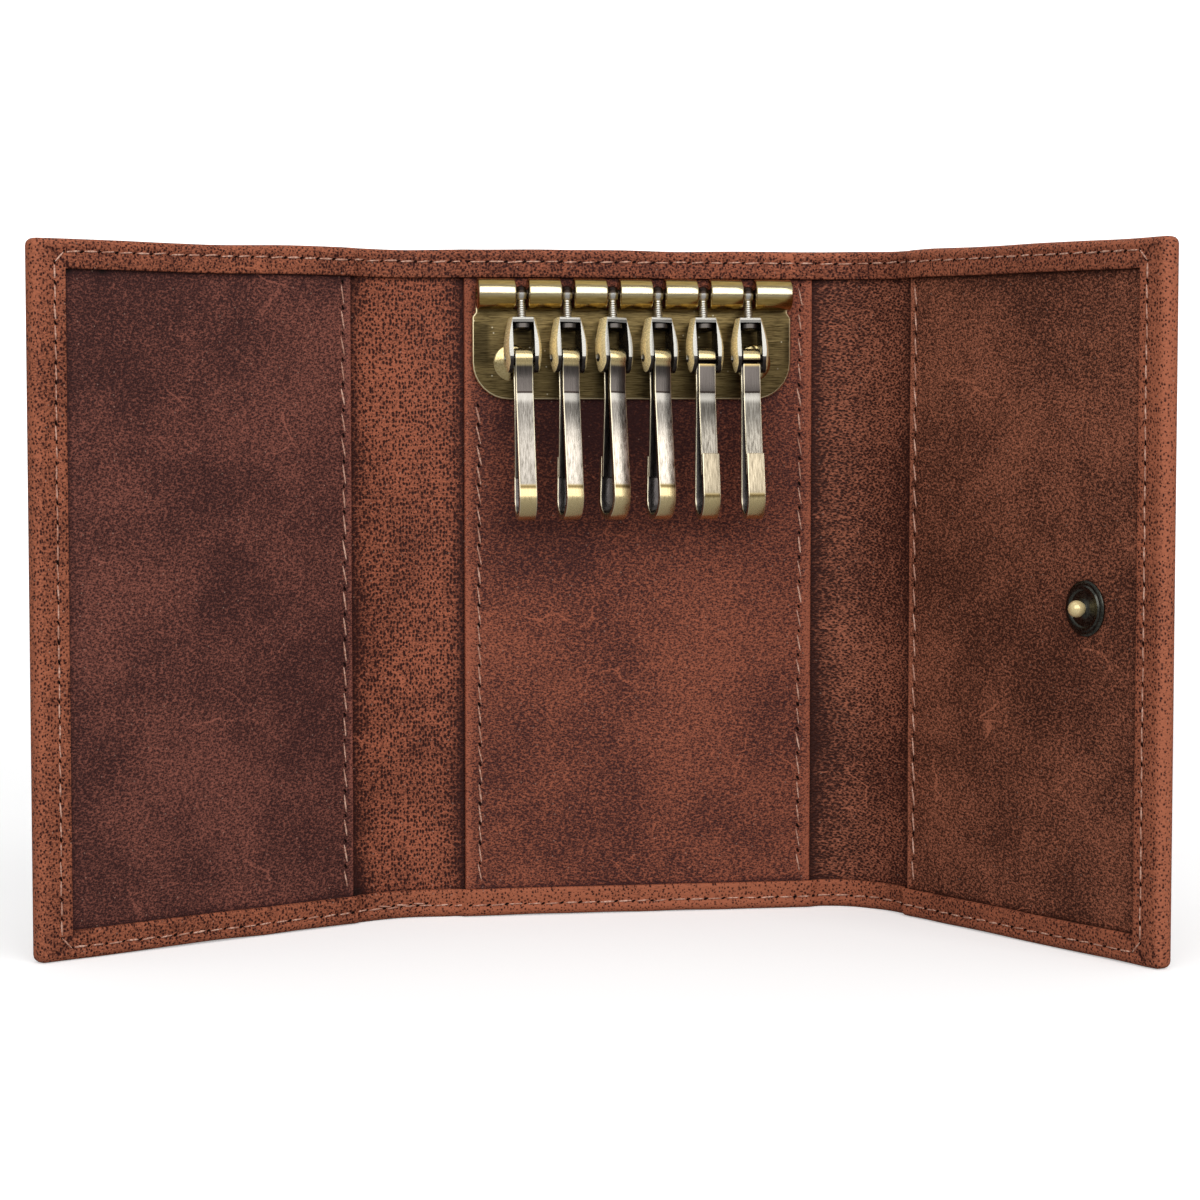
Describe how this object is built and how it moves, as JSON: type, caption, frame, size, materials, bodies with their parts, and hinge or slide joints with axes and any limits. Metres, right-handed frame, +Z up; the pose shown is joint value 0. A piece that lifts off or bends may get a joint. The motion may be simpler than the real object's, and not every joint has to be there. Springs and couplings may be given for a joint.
{
  "type": "key organizer",
  "caption": "Folding leather key case with slip pockets, a row of swivelling key hooks on an antique brass plate, and a snap that holds it shut.",
  "frame": {"origin": "foot of the middle panel: a point on its bottom edge, in the plane of the lining's inner face", "axes": "+Z up along the folds, +X along the middle panel to the right as the hooks are faced, -Y towards the hooks and the viewer"},
  "size_m": [0.1667, 0.068, 0.108],
  "materials": {
    "cover_leather": "open-pored tan leather, satin",
    "lining_leather": "open-pored tan leather, satin",
    "panel_leather": "dark waxed pull-up leather",
    "antique_brass": "antique brass, brushed",
    "hook_steel": "worn plating, grey faces with brass edges",
    "dark_steel": "dark polished steel",
    "gunmetal": "polished gunmetal"
  },
  "bodies": {
    "case": {"cover_middle": "cover_leather", "lining_middle": "lining_leather", "hook_panel": "panel_leather", "hook_plate": "antique_brass", "hook_rod": "dark_steel", "rivet_left": "antique_brass", "rivet_right": "antique_brass", "rivet_burr_left": "dark_steel", "rivet_burr_right": "dark_steel"},
    "left_gusset": {"cover_left_gusset": "cover_leather", "lining_left_gusset": "lining_leather"},
    "left_panel": {"cover_left_panel": "cover_leather", "lining_left_panel": "lining_leather", "left_pocket": "panel_leather", "snap_socket": "gunmetal", "snap_spring": "antique_brass", "snap_eyelet": "gunmetal"},
    "right_gusset": {"cover_right_gusset": "cover_leather", "lining_right_gusset": "lining_leather"},
    "right_panel": {"cover_right_panel": "cover_leather", "lining_right_panel": "lining_leather", "right_pocket": "panel_leather", "snap_stud": "gunmetal", "snap_cap": "antique_brass"},
    "stem_body_1": {"stem_1": "dark_steel"},
    "clevis_body_1": {"clevis_1": "antique_brass", "clevis_pin_1": "dark_steel"},
    "hook_body_1": {"hook_1": "hook_steel"},
    "gate_body_1": {"gate_1": "hook_steel"},
    "stem_body_2": {"stem_2": "dark_steel"},
    "clevis_body_2": {"clevis_2": "antique_brass", "clevis_pin_2": "dark_steel"},
    "hook_body_2": {"hook_2": "hook_steel"},
    "gate_body_2": {"gate_2": "hook_steel"},
    "stem_body_3": {"stem_3": "dark_steel"},
    "clevis_body_3": {"clevis_3": "antique_brass", "clevis_pin_3": "dark_steel"},
    "hook_body_3": {"hook_3": "hook_steel"},
    "gate_body_3": {"gate_3": "hook_steel"},
    "stem_body_4": {"stem_4": "dark_steel"},
    "clevis_body_4": {"clevis_4": "antique_brass", "clevis_pin_4": "dark_steel"},
    "hook_body_4": {"hook_4": "hook_steel"},
    "gate_body_4": {"gate_4": "hook_steel"},
    "stem_body_5": {"stem_5": "dark_steel"},
    "clevis_body_5": {"clevis_5": "antique_brass", "clevis_pin_5": "dark_steel"},
    "hook_body_5": {"hook_5": "hook_steel"},
    "gate_body_5": {"gate_5": "hook_steel"},
    "stem_body_6": {"stem_6": "dark_steel"},
    "clevis_body_6": {"clevis_6": "antique_brass", "clevis_pin_6": "dark_steel"},
    "hook_body_6": {"hook_6": "hook_steel"},
    "gate_body_6": {"gate_6": "hook_steel"}
  },
  "joints": [
    {"name": "left_gusset_fold", "type": "hinge", "parent": "case", "child": "left_gusset", "pos_m": [-0.03365, 0, 0], "axis": [0, 0, -1], "range_deg": [-74, 16]},
    {"name": "left_panel_fold", "type": "hinge", "parent": "left_gusset", "child": "left_panel", "pos_m": [-0.0474, -0.00394, 0], "axis": [0, 0, -1], "range_deg": [-77, 13]},
    {"name": "right_gusset_fold", "type": "hinge", "parent": "case", "child": "right_gusset", "pos_m": [0.02895, 0, 0], "axis": [0, 0, 1], "range_deg": [-51, 39]},
    {"name": "right_panel_fold", "type": "hinge", "parent": "right_gusset", "child": "right_panel", "pos_m": [0.0429, -0.0113, 0], "axis": [0, 0, 1], "range_deg": [-60, 27]},
    {"name": "hook_1_swing", "type": "hinge", "parent": "case", "child": "stem_body_1", "pos_m": [-0.01985, -0.0035, 0.1008], "axis": [-1, 0, 0], "range_deg": [0, 150]},
    {"name": "hook_1_swivel", "type": "hinge", "parent": "stem_body_1", "child": "clevis_body_1", "pos_m": [-0.01985, -0.0035, 0.1008], "axis": [0, 0.1994, 0.9799], "continuous": true},
    {"name": "hook_1_pivot", "type": "hinge", "parent": "clevis_body_1", "child": "hook_body_1", "pos_m": [-0.01985, -0.00559, 0.09051], "axis": [-1, 0, 0], "range_deg": [0, 95]},
    {"name": "hook_1_gate", "type": "hinge", "parent": "hook_body_1", "child": "gate_body_1", "pos_m": [-0.01985, -0.00559, 0.09051], "axis": [-1, 0, 0], "range_deg": [0, 6], "stiffness_Nm_per_rad": 0.02, "springref_deg": -2.86},
    {"name": "hook_2_swing", "type": "hinge", "parent": "case", "child": "stem_body_2", "pos_m": [-0.01243, -0.0035, 0.1008], "axis": [-1, 0, 0], "range_deg": [0, 150]},
    {"name": "hook_2_swivel", "type": "hinge", "parent": "stem_body_2", "child": "clevis_body_2", "pos_m": [-0.01243, -0.0035, 0.1008], "axis": [0, 0.1994, 0.9799], "continuous": true},
    {"name": "hook_2_pivot", "type": "hinge", "parent": "clevis_body_2", "child": "hook_body_2", "pos_m": [-0.01243, -0.00559, 0.09051], "axis": [-0.9914, -0.1279, 0.026], "range_deg": [0, 95]},
    {"name": "hook_2_gate", "type": "hinge", "parent": "hook_body_2", "child": "gate_body_2", "pos_m": [-0.01243, -0.00559, 0.09051], "axis": [-0.9914, -0.1279, 0.026], "range_deg": [0, 6], "stiffness_Nm_per_rad": 0.02, "springref_deg": -2.86},
    {"name": "hook_3_swing", "type": "hinge", "parent": "case", "child": "stem_body_3", "pos_m": [-0.00501, -0.0035, 0.1008], "axis": [-1, 0, 0], "range_deg": [0, 150]},
    {"name": "hook_3_swivel", "type": "hinge", "parent": "stem_body_3", "child": "clevis_body_3", "pos_m": [-0.00501, -0.0035, 0.1008], "axis": [0, 0.1994, 0.9799], "continuous": true},
    {"name": "hook_3_pivot", "type": "hinge", "parent": "clevis_body_3", "child": "hook_body_3", "pos_m": [-0.00501, -0.00559, 0.09051], "axis": [-0.9659, -0.2536, 0.0516], "range_deg": [0, 95]},
    {"name": "hook_3_gate", "type": "hinge", "parent": "hook_body_3", "child": "gate_body_3", "pos_m": [-0.00501, -0.00559, 0.09051], "axis": [-0.9659, -0.2536, 0.0516], "range_deg": [0, 6], "stiffness_Nm_per_rad": 0.02, "springref_deg": -2.86},
    {"name": "hook_4_swing", "type": "hinge", "parent": "case", "child": "stem_body_4", "pos_m": [0.00241, -0.0035, 0.1008], "axis": [-1, 0, 0], "range_deg": [0, 150]},
    {"name": "hook_4_swivel", "type": "hinge", "parent": "stem_body_4", "child": "clevis_body_4", "pos_m": [0.00241, -0.0035, 0.1008], "axis": [0, 0.1994, 0.9799], "continuous": true},
    {"name": "hook_4_pivot", "type": "hinge", "parent": "clevis_body_4", "child": "hook_body_4", "pos_m": [0.00241, -0.00559, 0.09051], "axis": [-0.9816, -0.187, 0.038], "range_deg": [0, 95]},
    {"name": "hook_4_gate", "type": "hinge", "parent": "hook_body_4", "child": "gate_body_4", "pos_m": [0.00241, -0.00559, 0.09051], "axis": [-0.9816, -0.187, 0.038], "range_deg": [0, 6], "stiffness_Nm_per_rad": 0.02, "springref_deg": -2.86},
    {"name": "hook_5_swing", "type": "hinge", "parent": "case", "child": "stem_body_5", "pos_m": [0.00983, -0.0035, 0.1008], "axis": [-1, 0, 0], "range_deg": [0, 150]},
    {"name": "hook_5_swivel", "type": "hinge", "parent": "stem_body_5", "child": "clevis_body_5", "pos_m": [0.00983, -0.0035, 0.1008], "axis": [0, 0.1994, 0.9799], "continuous": true},
    {"name": "hook_5_pivot", "type": "hinge", "parent": "clevis_body_5", "child": "hook_body_5", "pos_m": [0.00983, -0.00559, 0.09051], "axis": [-0.9986, -0.0513, 0.0104], "range_deg": [0, 95]},
    {"name": "hook_5_gate", "type": "hinge", "parent": "hook_body_5", "child": "gate_body_5", "pos_m": [0.00983, -0.00559, 0.09051], "axis": [0.9986, 0.0513, -0.0104], "range_deg": [0, 6], "stiffness_Nm_per_rad": 0.02, "springref_deg": -2.86},
    {"name": "hook_6_swing", "type": "hinge", "parent": "case", "child": "stem_body_6", "pos_m": [0.01725, -0.0035, 0.1008], "axis": [-1, 0, 0], "range_deg": [0, 150]},
    {"name": "hook_6_swivel", "type": "hinge", "parent": "stem_body_6", "child": "clevis_body_6", "pos_m": [0.01725, -0.0035, 0.1008], "axis": [0, 0.1994, 0.9799], "continuous": true},
    {"name": "hook_6_pivot", "type": "hinge", "parent": "clevis_body_6", "child": "hook_body_6", "pos_m": [0.01725, -0.00559, 0.09051], "axis": [-1, 0, 0], "range_deg": [0, 95]},
    {"name": "hook_6_gate", "type": "hinge", "parent": "hook_body_6", "child": "gate_body_6", "pos_m": [0.01725, -0.00559, 0.09051], "axis": [1, 0, 0], "range_deg": [0, 6], "stiffness_Nm_per_rad": 0.02, "springref_deg": -2.86}
  ]
}
